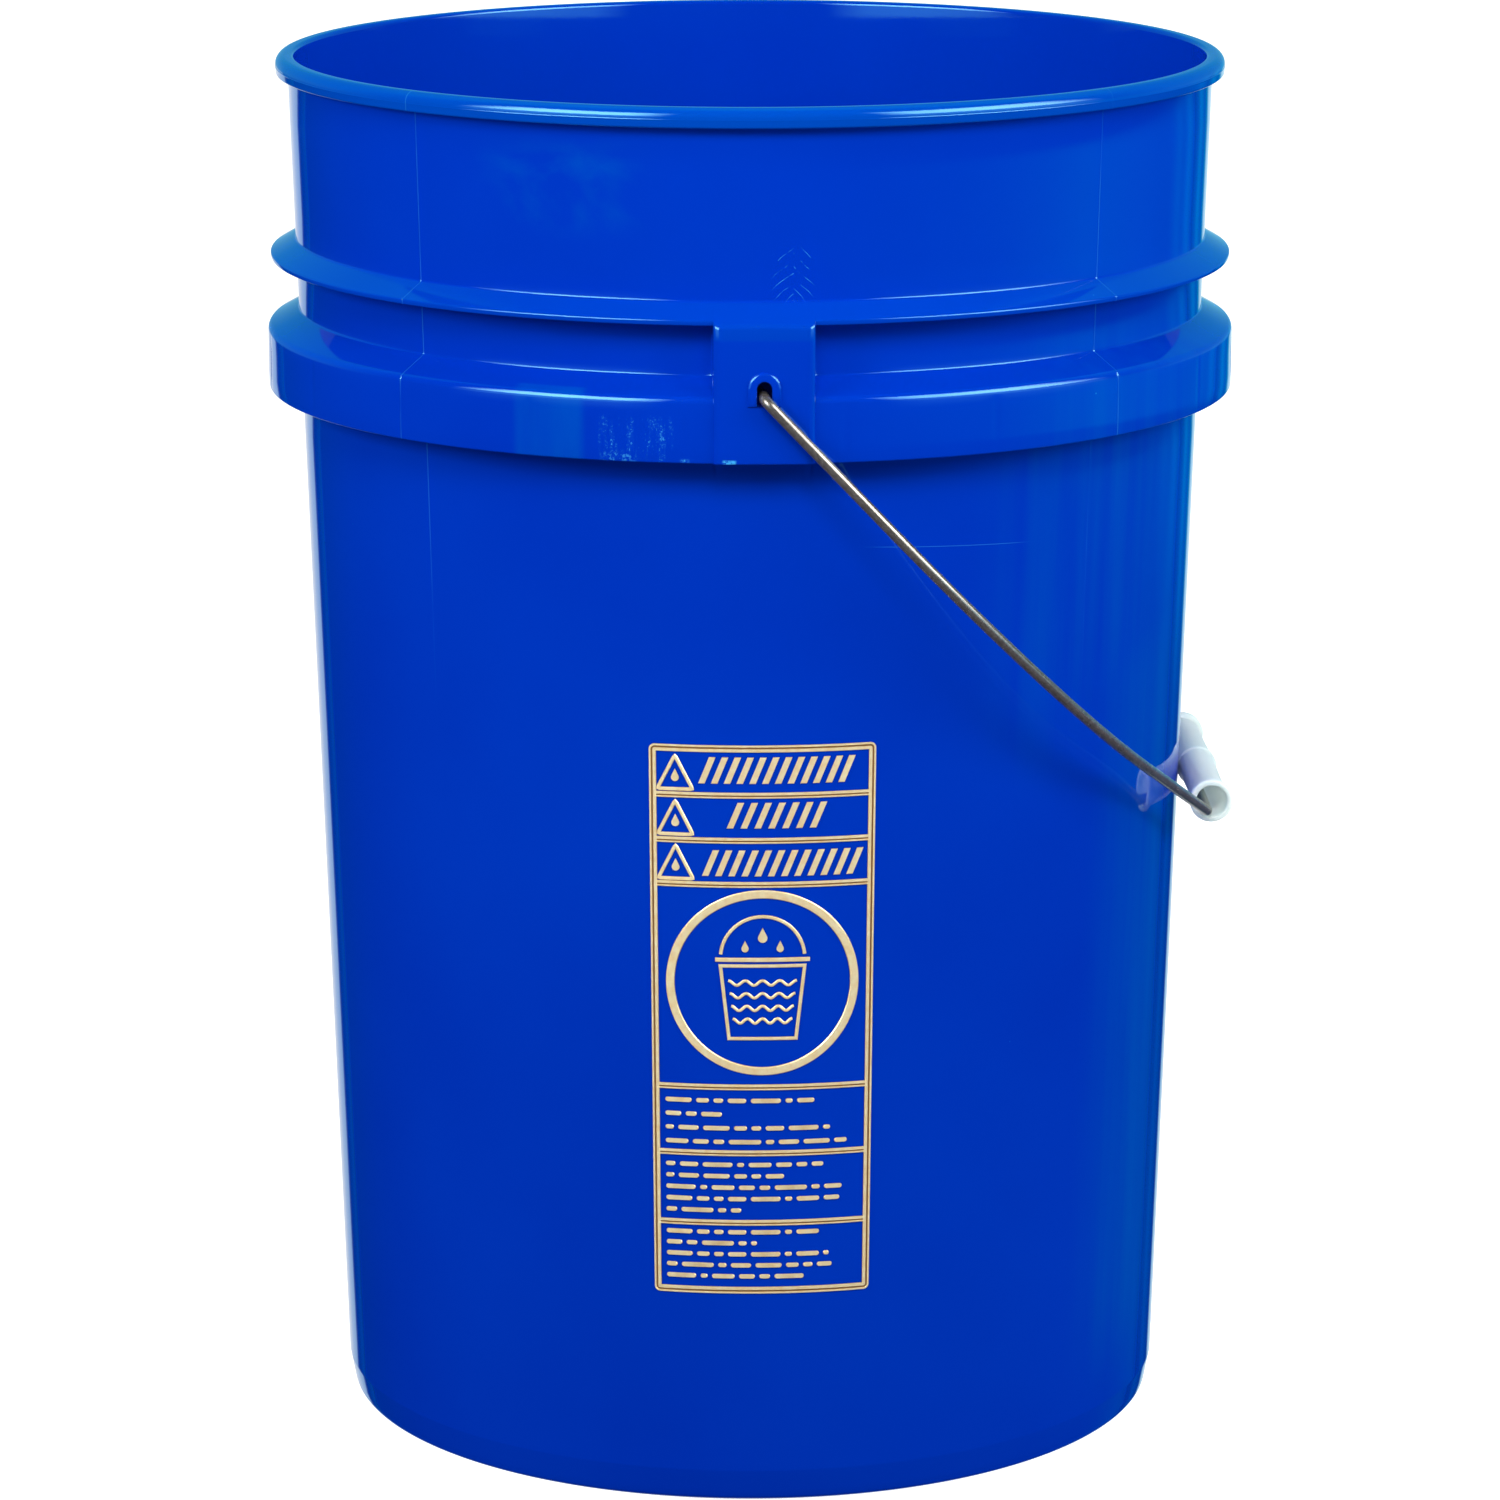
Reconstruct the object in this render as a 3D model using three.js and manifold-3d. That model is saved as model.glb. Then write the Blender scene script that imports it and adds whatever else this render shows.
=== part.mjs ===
// A tall moulded plastic wash pail: one moulding with a rim bead, a sloping collar, a stiffening skirt
// and two hollow ears; a steel wire bail that swings in the ears; a plastic tube grip that turns on
// the bail; and a thin foil panel stamped on the front of the wall.
// Millimetres, +Z up. The origin is on the axis, on the plane that the foot stands on.
// The front, with the panel, faces -Y. The bail rests on the +X side.

import * as THREE from 'three';
import * as BufferGeometryUtils from 'three/addons/utils/BufferGeometryUtils.js';
import Module from 'manifold-3d';

// ---- driving dimensions of the moulding -------------------------------------------------------
const HEIGHT = 444.5;            // foot to the crest of the rim
const WALL_BASE_RADIUS = 134.5;  // outside of the wall, carried down to z = 0
const WALL_DRAFT = 0.0318;       // growth of the radius for each mm of height
const WALL = 2.3;                // wall thickness
const FACETS = 72;               // flats round the axis

const FOOT_RADIUS = 133.2;
const FOOT_STEP = 17;            // the wall starts above this height
const FOOT_LAND = [126, 130.6];  // radii of the flat ring that stands on the ground
const FLOOR_UNDER = 3.7;
const FLOOR_TOP = 6.2;
const FLOOR_FILLET = 6;

const RIM_RADIUS = 152.4;
const RIM_HEIGHT = 6.1;          // height of the bead's outside, up to the crest

const COLLAR_RADIUS = 154.9;
const COLLAR_EDGE_Z = 379.6;     // lowest edge of the sloping collar
const COLLAR_ROOT_Z = 385.8;     // where its upper side meets the wall
const COLLAR_THICK = 2;

const SKIRT_RADIUS = 156.1;
const SKIRT_BOTTOM_Z = 337.9;
const SKIRT_TOP_Z = 358.6;       // outer corner of the top web
const SKIRT_ROOT_Z = 363.1;      // where the top web meets the wall
const SKIRT_THICK = 2;
const RIBS = 20;                 // webs inside the skirt's channel
const RIB_THICK = 1.8;
const RIB_BOTTOM_Z = 344;

const EAR_WIDTH = 30.6;
const EAR_FACE = 157;            // distance of the ear's face from the axis
const EAR_THICK = 2;
const EAR_CORNER = 1.6;
const EAR_ROOF_Z = 375.5;        // roof of the hollow behind the ear's face
const SLOT_WIDTH = 4.6;
const SLOT_TOP_Z = 363.2;
const SLOT_BOTTOM_Z = 355.6;
const BOSS_WIDTH = 10.2;
const BOSS_PROUD = 0.6;

// ---- driving dimensions of the bail, the grip and the panel -----------------------------------
const PIVOT_Z = 358;
const BAIL_DROP = 46.4;          // degrees below level, with the grip leaning on the wall
const WIRE_RADIUS = 1.7;
const WIRE_SIDES = 10;
const END_INNER = 150.5;          // the wire's end, behind the ear's face
const LEG_OFFSET = 159.8;        // the leg's distance from the pail's axis, beside the ear
const END_BEND = 3.2;
const LEG_LENGTH = 54;           // straight part of a leg
const SHOULDER_RADIUS = 155;
const SHOULDER_TURN = 52.5;      // degrees
const REACH = 212;               // from the pivot line to the wire inside the grip
const GRIP_BEND = 5;
const COINED_SIZE = [5.8, 2.2, 3.6];

const GRIP_LENGTH = 100;
const GRIP_BORE = 4.9;
const GRIP_BEAD = 6.45;
const GRIP_WAIST = 5.75;
const GRIP_FACETS = 32;
const GRIP_SHIFT = [1.7, 2.4];   // grip's axis from the wire's, along X and Z

const PANEL_LEFT = -34.3;
const PANEL_RIGHT = 34.3;
const PANEL_ROWS = [70, 93.5, 116.4, 138, 203.5, 217.6, 232, 248];  // heights of the ruled lines
const PANEL_LINE = 1.6;
const PANEL_GAP = 0.3;
const PANEL_THICK = 0.5;

const wallRadius = (z) => WALL_BASE_RADIUS + WALL_DRAFT * z;
const radians = THREE.MathUtils.degToRad;

// ---- booleans -----------------------------------------------------------------------------------
const wasm = await Module();
wasm.setup();

function toSolid(geometry) {
  const bare = geometry.clone();
  bare.deleteAttribute('normal');
  bare.deleteAttribute('uv');
  const merged = BufferGeometryUtils.mergeVertices(bare, 1e-4);
  return new wasm.Manifold(new wasm.Mesh({
    numProp: 3,
    vertProperties: new Float32Array(merged.attributes.position.array),
    triVerts: new Uint32Array(merged.index.array),
  }));
}

function toGeometry(solid) {
  const mesh = solid.getMesh();
  const geometry = new THREE.BufferGeometry();
  geometry.setAttribute('position', new THREE.BufferAttribute(mesh.vertProperties, 3));
  geometry.setIndex(new THREE.BufferAttribute(mesh.triVerts, 1));
  geometry.computeVertexNormals();
  return geometry;
}

// ---- shape helpers ------------------------------------------------------------------------------
// A closed [radius, height] outline, anticlockwise, turned about the Z axis.
function turned(outline, facets = FACETS) {
  const points = [...outline, outline[0]].map(([r, z]) => new THREE.Vector2(r, z));
  const geometry = new THREE.LatheGeometry(points, facets);
  geometry.rotateX(Math.PI / 2);
  return geometry;
}

function arc(centre, radius, from, to, steps) {
  return Array.from({ length: steps + 1 }, (_, i) => {
    const angle = radians(from + (to - from) * i / steps);
    return [centre[0] + radius * Math.cos(angle), centre[1] + radius * Math.sin(angle)];
  });
}

// A shape drawn in X and Z, extruded along Y from yFrom to yTo.
function alongY(shape, yFrom, yTo) {
  const geometry = new THREE.ExtrudeGeometry(shape, {
    depth: yTo - yFrom, bevelEnabled: false, curveSegments: 8,
  });
  geometry.rotateX(Math.PI / 2);
  geometry.translate(0, yTo, 0);
  return geometry;
}

function rectangle(x0, x1, y0, y1, Kind = THREE.Shape) {
  const corners = [[x0, y0], [x1, y0], [x1, y1], [x0, y1]];
  return new Kind(corners.map(([x, y]) => new THREE.Vector2(x, y)));
}

// An upright arch: straight sides on a flat foot, with a round top.
function arch(width, bottom, top) {
  const half = width / 2;
  const shape = new THREE.Shape();
  shape.moveTo(-half, bottom);
  shape.lineTo(half, bottom);
  shape.lineTo(half, top - half);
  shape.absarc(0, top - half, half, 0, Math.PI, false);
  shape.lineTo(-half, bottom);
  return shape;
}

// ---- pail body ----------------------------------------------------------------------------------
function footOutline() {
  return [
    [FOOT_LAND[0], 0],
    [FOOT_LAND[1], 0],
    [FOOT_RADIUS - 0.9, 0.8],
    [FOOT_RADIUS - 0.2, 2.4],
    [FOOT_RADIUS + 0.2, 8],
    [FOOT_RADIUS + 0.8, 12.5],
    [wallRadius(FOOT_STEP), FOOT_STEP],
  ];
}

function skirtOutline() {
  const inside = SKIRT_RADIUS - SKIRT_THICK;
  return [
    [wallRadius(SKIRT_ROOT_Z - 4.4), SKIRT_ROOT_Z - 4.4],
    [inside - 0.6, SKIRT_TOP_Z - 3.4],
    [inside, SKIRT_BOTTOM_Z],
    [SKIRT_RADIUS, SKIRT_BOTTOM_Z],
    [SKIRT_RADIUS, SKIRT_TOP_Z - 2.4],
    [SKIRT_RADIUS - 0.5, SKIRT_TOP_Z - 0.8],
    [SKIRT_RADIUS - 1.9, SKIRT_TOP_Z],
    [wallRadius(SKIRT_ROOT_Z) + 0.6, SKIRT_ROOT_Z - 0.3],
    [wallRadius(SKIRT_ROOT_Z + 0.6), SKIRT_ROOT_Z + 0.6],
  ];
}

function collarOutline() {
  const under = COLLAR_ROOT_Z - 3;
  return [
    [wallRadius(under), under],
    [COLLAR_RADIUS - 1.2, COLLAR_EDGE_Z],
    [COLLAR_RADIUS - 0.2, COLLAR_EDGE_Z + 0.3],
    [COLLAR_RADIUS, COLLAR_EDGE_Z + 1],
    [COLLAR_RADIUS - 0.6, COLLAR_EDGE_Z + COLLAR_THICK - 0.2],
    [wallRadius(COLLAR_ROOT_Z) + 0.6, COLLAR_ROOT_Z - 0.4],
    [wallRadius(COLLAR_ROOT_Z + 0.6), COLLAR_ROOT_Z + 0.6],
  ];
}

function rimOutline() {
  const under = HEIGHT - RIM_HEIGHT;
  const inner = wallRadius(HEIGHT) - WALL;
  return [
    [wallRadius(under - 1.2), under - 1.2],
    [wallRadius(under) + 0.8, under - 0.1],
    [RIM_RADIUS - 0.5, under + 0.1],
    [RIM_RADIUS, under + 0.8],
    [RIM_RADIUS, HEIGHT - 3],
    ...arc([RIM_RADIUS - 3, HEIGHT - 3], 3, 20, 90, 3),
    [inner + 1.2, HEIGHT - 0.2],
    [inner + 0.2, HEIGHT - 1.2],
  ];
}

function insideOutline() {
  const centreZ = FLOOR_TOP + FLOOR_FILLET;
  const wall = wallRadius(centreZ) - WALL;
  return [
    [wallRadius(HEIGHT - 4) - WALL, HEIGHT - 4],
    ...arc([wall - FLOOR_FILLET, centreZ], FLOOR_FILLET, 0, -90, 4),
    [0, FLOOR_TOP],
    [0, FLOOR_UNDER],
    [FOOT_LAND[0] - 2, FLOOR_UNDER],
  ];
}

function pailShell() {
  return toSolid(turned([
    ...footOutline(), ...skirtOutline(), ...collarOutline(), ...rimOutline(), ...insideOutline(),
  ]));
}

// The ring of space between a line in the wall and well outside it, capped by the collar's slope.
function ringZone(wallInset, bottom, rootTop) {
  const outer = EAR_FACE + 5;
  const slope = (COLLAR_ROOT_Z - COLLAR_EDGE_Z - COLLAR_THICK) / (COLLAR_RADIUS - wallRadius(COLLAR_ROOT_Z));
  const inner = wallRadius(rootTop) - wallInset;
  return toSolid(turned([
    [wallRadius(bottom) - wallInset, bottom],
    [outer, bottom],
    [outer, rootTop - slope * (outer - inner)],
    [inner, rootTop],
  ]));
}

function earPlan(halfWidth, face, corner) {
  const shape = new THREE.Shape();
  shape.moveTo(-halfWidth, -120);
  shape.lineTo(-halfWidth, -face + corner);
  shape.absarc(-halfWidth + corner, -face + corner, corner, Math.PI, 1.5 * Math.PI, false);
  shape.absarc(halfWidth - corner, -face + corner, corner, 1.5 * Math.PI, 2 * Math.PI, false);
  shape.lineTo(halfWidth, -120);
  return shape;
}

function upright(shape, bottom, top) {
  const geometry = new THREE.ExtrudeGeometry(shape, {
    depth: top - bottom, bevelEnabled: false, curveSegments: 4,
  });
  geometry.translate(0, 0, bottom);
  return toSolid(geometry);
}

function earBlock() {
  const block = upright(earPlan(EAR_WIDTH / 2, EAR_FACE, EAR_CORNER), SKIRT_BOTTOM_Z, COLLAR_ROOT_Z);
  const boss = toSolid(alongY(
    arch(BOSS_WIDTH, SLOT_BOTTOM_Z - 0.2, SLOT_TOP_Z + (BOSS_WIDTH - SLOT_WIDTH) / 2),
    -EAR_FACE - BOSS_PROUD, -EAR_FACE + 1,
  ));
  return block.intersect(ringZone(WALL / 2, SKIRT_BOTTOM_Z, COLLAR_ROOT_Z)).add(boss);
}

function earHollow() {
  const below = SKIRT_BOTTOM_Z - 5;
  const plan = earPlan(EAR_WIDTH / 2 - EAR_THICK, EAR_FACE - EAR_THICK, EAR_CORNER / 2);
  const room = upright(plan, below, EAR_ROOF_Z).intersect(ringZone(-0.05, below, EAR_ROOF_Z + 5));
  const slot = toSolid(alongY(
    arch(SLOT_WIDTH, SLOT_BOTTOM_Z, SLOT_TOP_Z), -EAR_FACE - 5, -EAR_FACE + EAR_THICK + 1,
  ));
  return room.add(slot);
}

function rib(angle) {
  const inner = wallRadius(RIB_BOTTOM_Z) - WALL / 2;
  const outer = SKIRT_RADIUS - SKIRT_THICK / 2;
  const geometry = new THREE.BoxGeometry(outer - inner, RIB_THICK, SKIRT_TOP_Z - 2 - RIB_BOTTOM_Z);
  geometry.translate((inner + outer) / 2, 0, (SKIRT_TOP_Z - 2 + RIB_BOTTOM_Z) / 2);
  geometry.rotateZ(angle);
  return toSolid(geometry);
}

function pailBody() {
  let solid = pailShell();
  for (let i = 0; i < RIBS; i += 1) {
    solid = solid.add(rib(2 * Math.PI * (i + 0.5) / RIBS));
  }
  const block = earBlock();
  const hollow = earHollow();
  for (const turn of [0, 180]) {
    solid = solid.add(block.rotate([0, 0, turn])).subtract(hollow.rotate([0, 0, turn]));
  }
  return toGeometry(solid);
}

// ---- bail wire ----------------------------------------------------------------------------------
// Lines and arcs in the bail's own plane: x runs from the pivot line out to the grip, y along it.
// Every piece gets its own share of the steps, so that the tight bends are as smooth as the long ones.
class StepPath extends THREE.Curve {
  constructor(pieces) {
    super();
    this.pieces = pieces;
    this.steps = pieces.reduce((sum, piece) => sum + piece.steps, 0);
  }

  getPoint(t) {
    let along = THREE.MathUtils.clamp(t, 0, 1) * this.steps;
    for (const { curve, steps } of this.pieces) {
      if (along <= steps) return curve.getPoint(along / steps);
      along -= steps;
    }
    return this.pieces.at(-1).curve.getPoint(1);
  }

  getUtoTmapping(u) {
    return u;
  }
}

// Joins straight lines through the corner points with an arc of the given radius at each corner.
function filletedPath(corners) {
  const pieces = [];
  let from = corners[0].at;
  for (let i = 1; i < corners.length - 1; i += 1) {
    const { at, radius, steps } = corners[i];
    const inward = at.clone().sub(corners[i - 1].at).normalize();
    const outward = corners[i + 1].at.clone().sub(at).normalize();
    const turn = inward.angleTo(outward);
    const cut = radius * Math.tan(turn / 2);
    const start = at.clone().addScaledVector(inward, -cut);
    const end = at.clone().addScaledVector(outward, cut);
    pieces.push({ curve: new THREE.LineCurve3(from, start), steps: corners[i].straight ?? 1 });
    pieces.push({ curve: new ArcCurve3(start, inward, outward, radius, turn), steps });
    from = end;
  }
  pieces.push({ curve: new THREE.LineCurve3(from, corners.at(-1).at), steps: 1 });
  return new StepPath(pieces);
}

class ArcCurve3 extends THREE.Curve {
  constructor(start, inward, outward, radius, turn) {
    super();
    const side = outward.clone().addScaledVector(inward, -outward.dot(inward)).normalize();
    Object.assign(this, { start, inward, side, radius, turn });
  }

  getPoint(t) {
    const angle = t * this.turn;
    return this.start.clone()
      .addScaledVector(this.inward, this.radius * Math.sin(angle))
      .addScaledVector(this.side, this.radius * (1 - Math.cos(angle)));
  }
}

function bailCorners() {
  const point = (x, y) => new THREE.Vector3(x, y, 0);
  const turn = radians(SHOULDER_TURN);
  const shoulderCut = SHOULDER_RADIUS * Math.tan(turn / 2);
  const shoulder = [LEG_LENGTH + shoulderCut, LEG_OFFSET];
  const gripCorner = LEG_OFFSET - (REACH - shoulder[0]) * Math.tan(turn);
  const half = (sign) => [
    { at: point(0, sign * END_INNER) },
    { at: point(0, sign * LEG_OFFSET), radius: END_BEND, steps: 5 },
    { at: point(shoulder[0], sign * shoulder[1]), radius: SHOULDER_RADIUS, steps: 14 },
    { at: point(REACH, sign * gripCorner), radius: GRIP_BEND, steps: 4 },
  ];
  return [...half(-1), ...half(1).reverse()];
}

function wireGeometry(path) {
  const section = new THREE.Shape();
  for (let i = 0; i < WIRE_SIDES; i += 1) {
    const angle = 2 * Math.PI * i / WIRE_SIDES;
    const point = [WIRE_RADIUS * Math.cos(angle), WIRE_RADIUS * Math.sin(angle)];
    if (i === 0) section.moveTo(...point);
    else section.lineTo(...point);
  }
  section.closePath();
  return new THREE.ExtrudeGeometry(section, { steps: path.steps, extrudePath: path });
}

// The wire's end is pressed flat and wide, so that it can't pull out through the slot.
function coinedEnd(sign) {
  const [width, thick, length] = COINED_SIZE;
  const outline = new THREE.Shape();
  outline.absarc(width / 2 - thick / 2, 0, thick / 2, -Math.PI / 2, Math.PI / 2, false);
  outline.absarc(-width / 2 + thick / 2, 0, thick / 2, Math.PI / 2, 1.5 * Math.PI, false);
  const y = sign * (END_INNER - length / 2 + 0.4);
  return toSolid(alongY(outline, y - length / 2, y + length / 2));
}

function bailWire() {
  const wire = toSolid(wireGeometry(filletedPath(bailCorners())));
  return toGeometry(wire.add(coinedEnd(-1)).add(coinedEnd(1)));
}

// ---- hand grip ----------------------------------------------------------------------------------
// A thin tube with a rounded bead at each end and a low one in the middle, along its own Y axis.
function handGrip() {
  const end = GRIP_LENGTH / 2;
  const side = (sign) => [
    [GRIP_BORE + 0.2, end],
    [GRIP_BEAD - 0.5, end],
    [GRIP_BEAD, end - 0.7],
    [GRIP_BEAD, end - 2.6],
    [GRIP_WAIST, end - 3.8],
    [GRIP_WAIST + 0.1, 3],
    [GRIP_BEAD - 0.15, 1.2],
  ].map(([r, y]) => [r, sign * y]);
  const outline = [...side(-1), ...side(1).reverse(), [GRIP_BORE, end - 0.4], [GRIP_BORE, 0.4 - end]];
  const points = [...outline, outline[0]].map(([r, y]) => new THREE.Vector2(r, y));
  return new THREE.LatheGeometry(points, GRIP_FACETS);
}

// ---- foil panel ---------------------------------------------------------------------------------
// Ruled lines round and across the panel, as a thin skin that follows the tapered wall.
function foilPanel() {
  const bottom = PANEL_ROWS[0];
  const top = PANEL_ROWS.at(-1);
  const lattice = rectangle(PANEL_LEFT, PANEL_RIGHT, bottom, top);
  PANEL_ROWS.slice(1).forEach((row, i) => {
    lattice.holes.push(rectangle(
      PANEL_LEFT + PANEL_LINE, PANEL_RIGHT - PANEL_LINE,
      PANEL_ROWS[i] + PANEL_LINE / 2 + (i === 0 ? PANEL_LINE / 2 : 0),
      row - PANEL_LINE / 2 - (row === top ? PANEL_LINE / 2 : 0),
      THREE.Path,
    ));
  });
  const skin = (z, offset) => [wallRadius(z) + offset, z];
  const ring = toSolid(turned([
    skin(bottom - 5, PANEL_GAP), skin(bottom - 5, PANEL_GAP + PANEL_THICK),
    skin(top + 5, PANEL_GAP + PANEL_THICK), skin(top + 5, PANEL_GAP),
  ]));
  return toGeometry(ring.intersect(toSolid(alongY(lattice, -EAR_FACE, -100))));
}

// ---- the assembly -------------------------------------------------------------------------------
function part(name, geometry, colour, roughness, metalness) {
  const mesh = new THREE.Mesh(geometry, new THREE.MeshStandardMaterial({
    color: colour, roughness, metalness,
  }));
  mesh.name = name;
  return mesh;
}

const bucket = new THREE.Group();
bucket.add(part('pail_body', pailBody(), '#0037c4', 0.25, 0));
bucket.add(part('foil_panel', foilPanel(), '#e8c07a', 0.35, 0.8));

const bail = new THREE.Group();
bail.position.set(0, 0, PIVOT_Z);
bail.rotation.y = radians(BAIL_DROP);
bail.add(part('bail_wire', bailWire(), '#9a9a98', 0.3, 1));
bucket.add(bail);

const grip = part('hand_grip', handGrip(), '#e4ecec', 0.4, 0);
grip.position.set(
  REACH * Math.cos(radians(BAIL_DROP)) + GRIP_SHIFT[0],
  0,
  PIVOT_Z - REACH * Math.sin(radians(BAIL_DROP)) + GRIP_SHIFT[1],
);
bucket.add(grip);

export default bucket;
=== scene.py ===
"""A wash pail in blue moulded plastic, with its steel bail, plastic hand grip and gold stamped panel.

Shapes are worked out in millimetres and written to meshes in metres. +Z is up and the front faces -Y.
"""
import math
from math import asin, cos, pi, radians, sin, sqrt, tan

import bmesh
import bpy
import numpy as np
from mathutils import Matrix, Vector


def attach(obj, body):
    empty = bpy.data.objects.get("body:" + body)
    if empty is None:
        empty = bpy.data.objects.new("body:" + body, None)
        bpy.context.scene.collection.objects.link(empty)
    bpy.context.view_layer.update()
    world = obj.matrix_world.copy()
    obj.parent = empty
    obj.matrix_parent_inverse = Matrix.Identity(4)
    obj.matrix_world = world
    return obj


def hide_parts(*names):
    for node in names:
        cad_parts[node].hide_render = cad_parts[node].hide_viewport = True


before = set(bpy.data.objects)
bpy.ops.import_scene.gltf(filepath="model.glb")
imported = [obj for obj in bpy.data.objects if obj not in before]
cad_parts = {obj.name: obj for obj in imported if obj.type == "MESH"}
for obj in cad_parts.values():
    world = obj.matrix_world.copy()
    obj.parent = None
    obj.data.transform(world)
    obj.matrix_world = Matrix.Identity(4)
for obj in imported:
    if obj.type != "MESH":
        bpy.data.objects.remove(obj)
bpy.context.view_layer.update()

MM = 0.001
SHARP_ANGLE = radians(33)

# ---- the moulding's driving dimensions, in millimetres --------------------------------------------
WALL_BASE_RADIUS = 134.5
WALL_DRAFT = 0.0318
WALL_THICK = 2.3
COLUMN_STEP = 1.5            # degrees between plain columns of the pail's mesh

FLOOR_UNDER = 3.7
FLOOR_TOP = 6.2
RIM_RADIUS = 152.4
RIM_TOP = 444.5
RIM_ROUND = 3.1
RIM_STEPS = 12
COLLAR_RADIUS = 154.9
COLLAR_EDGE = 381.2
COLLAR_ROOT = 385.8
COLLAR_UNDER = 383.2         # where the collar's underside meets the wall
SKIRT_RADIUS = 156.1
SKIRT_INSIDE = 154.1
SKIRT_BOTTOM = 337.9
SKIRT_FACE = (343.0, 351.0)  # heights between which the skirt's face sinks over each rib
SKIRT_TOP = 357.6            # outer corner of the web over the skirt
SKIRT_ROOT = 363.1           # where that web meets the wall
CHANNEL_ROOT = 360.8         # the channel's roof, at the wall
CHANNEL_EDGE = 356.3         # and at the skirt

RIB_COUNT = 20
RIB_HALF_ANGLE = 0.33        # degrees
RIB_BOTTOM = 345.0
SEAM_ANGLES = (45.0, 135.0, 225.0, 315.0)
SEAM_HALF_ANGLE = 0.09
SEAM_RISE = 0.1
SINK_DEPTH = 0.07            # hollow in the skirt's face over each rib

EAR_HALF_WIDTH = 15.3
EAR_CORNER_WIDE = 2.7
EAR_CORNER_DEEP = 1.6
EAR_FACE = 157.0
EAR_THICK = 2.0
EAR_ROOF = 375.5
EAR_ZONE = 6.1               # degrees each side that the ear's own columns fill
EAR_COLUMN_RADIUS = 155.5    # radius at which those columns stand at their own x
EAR_BESIDE = ((15.31, 0.7), (15.46, 0.33), (15.7, 0.1), (16.1, 0.0))  # (x, lift of the wall there)
SLOT_WIDTH = 4.6
SLOT_BOTTOM = 355.6
SLOT_TOP = 363.2
BOSS_WIDTH = 10.2
BOSS_BOTTOM = 355.4
BOSS_TOP = 366.0
BOSS_PROUD = 0.85

# ---- the bail's and the grip's driving dimensions -------------------------------------------------
PIVOT_Z = 358.0
BAIL_DROP = radians(46.4)
WIRE_RADIUS = 1.7
END_INNER = 147.3            # inner face of the pressed end
PRESS_START = 151.6          # where the round wire starts to widen into the pressed end
PRESS_LENGTH = 1.6
PRESSED_HALF_WIDTH = 2.9
PRESSED_HALF_THICK = 1.1
WIRE_SIDES = 28
WIRE_END = ((0.0, 0.72), (0.12, 0.9), (0.35, 1.0))   # (inset, share of the full section)
LEG_OFFSET = 159.8
END_BEND = 3.2
LEG_LENGTH = 54.0
SHOULDER_RADIUS = 155.0
SHOULDER_TURN = radians(52.5)
REACH = 212.0
GRIP_BEND = 5.0

GRIP_HALF_LENGTH = 50.0
GRIP_BORE = 4.9
GRIP_FLANGE = 7.0
GRIP_BEAD = 6.6
GRIP_WAIST = 5.75
GRIP_SIDES = 96
GRIP_SHIFT = (1.7, 2.4)      # the grip's axis from the wire's, along X and Z

# ---- the stamped panel ----------------------------------------------------------------------------
PANEL_HALF_WIDTH = 34.65     # measured round the wall
PANEL_RADIUS = 139.5         # the wall's radius half way up the panel
PANEL_ROWS = (70.0, 93.5, 116.4, 138.0, 203.5, 217.6, 232.0, 248.0)
FOIL_RISE = 0.38
FOIL_ROOT = -0.12            # the foil's raised lines start this far inside the wall
RING_CENTRE = 171.9
RING_RADIUS = 28.6


def wall_radius(z):
    return WALL_BASE_RADIUS + WALL_DRAFT * z


# ---- mesh helpers ---------------------------------------------------------------------------------
def make_object(name, points, faces, smooth=True):
    """A mesh object from points in millimetres."""
    mesh = bpy.data.meshes.new(name)
    mesh.from_pydata([tuple(p) for p in np.asarray(points, float) * MM], [], faces)
    obj = bpy.data.objects.new(name, mesh)
    bpy.context.scene.collection.objects.link(obj)
    clean(mesh)
    if smooth:
        shade(mesh)
    return obj


def clean(mesh):
    """Merges doubled points, drops faces without area and turns every face outward."""
    bm = bmesh.new()
    bm.from_mesh(mesh)
    bmesh.ops.remove_doubles(bm, verts=bm.verts, dist=1e-7)
    bmesh.ops.dissolve_degenerate(bm, dist=1e-7, edges=bm.edges)
    bmesh.ops.recalc_face_normals(bm, faces=bm.faces)
    bm.to_mesh(mesh)
    bm.free()


def shade(mesh):
    mesh.polygons.foreach_set("use_smooth", [True] * len(mesh.polygons))
    mesh.set_sharp_from_angle(angle=SHARP_ANGLE)


def boolean(obj, cutter, operation):
    """Applies one exact boolean, and removes the cutter."""
    modifier = obj.modifiers.new(operation, "BOOLEAN")
    modifier.object = cutter
    modifier.operation = operation
    modifier.solver = "EXACT"
    evaluated = obj.evaluated_get(bpy.context.evaluated_depsgraph_get())
    mesh = bpy.data.meshes.new_from_object(evaluated)
    obj.modifiers.clear()
    old = obj.data
    obj.data = mesh
    bpy.data.meshes.remove(old)
    mesh.name = obj.name
    bpy.data.objects.remove(cutter)


def grid_faces(columns, rows, around=True):
    """Quads between neighbouring columns of points; around joins the last column to the first."""
    faces = []
    for i in range(columns if around else columns - 1):
        j = (i + 1) % columns
        for k in range(rows - 1):
            faces.append((i * rows + k, j * rows + k, j * rows + k + 1, i * rows + k + 1))
    return faces


def tube_faces(rings, sides, base=0):
    """Quads between neighbouring rings of points, then a face over each end."""
    faces = []
    for k in range(rings - 1):
        a, b = base + k * sides, base + (k + 1) * sides
        for i in range(sides):
            j = (i + 1) % sides
            faces.append((a + i, a + j, b + j, b + i))
    last = base + (rings - 1) * sides
    return faces + [tuple(range(base, base + sides)), tuple(range(last, last + sides))]


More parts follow.
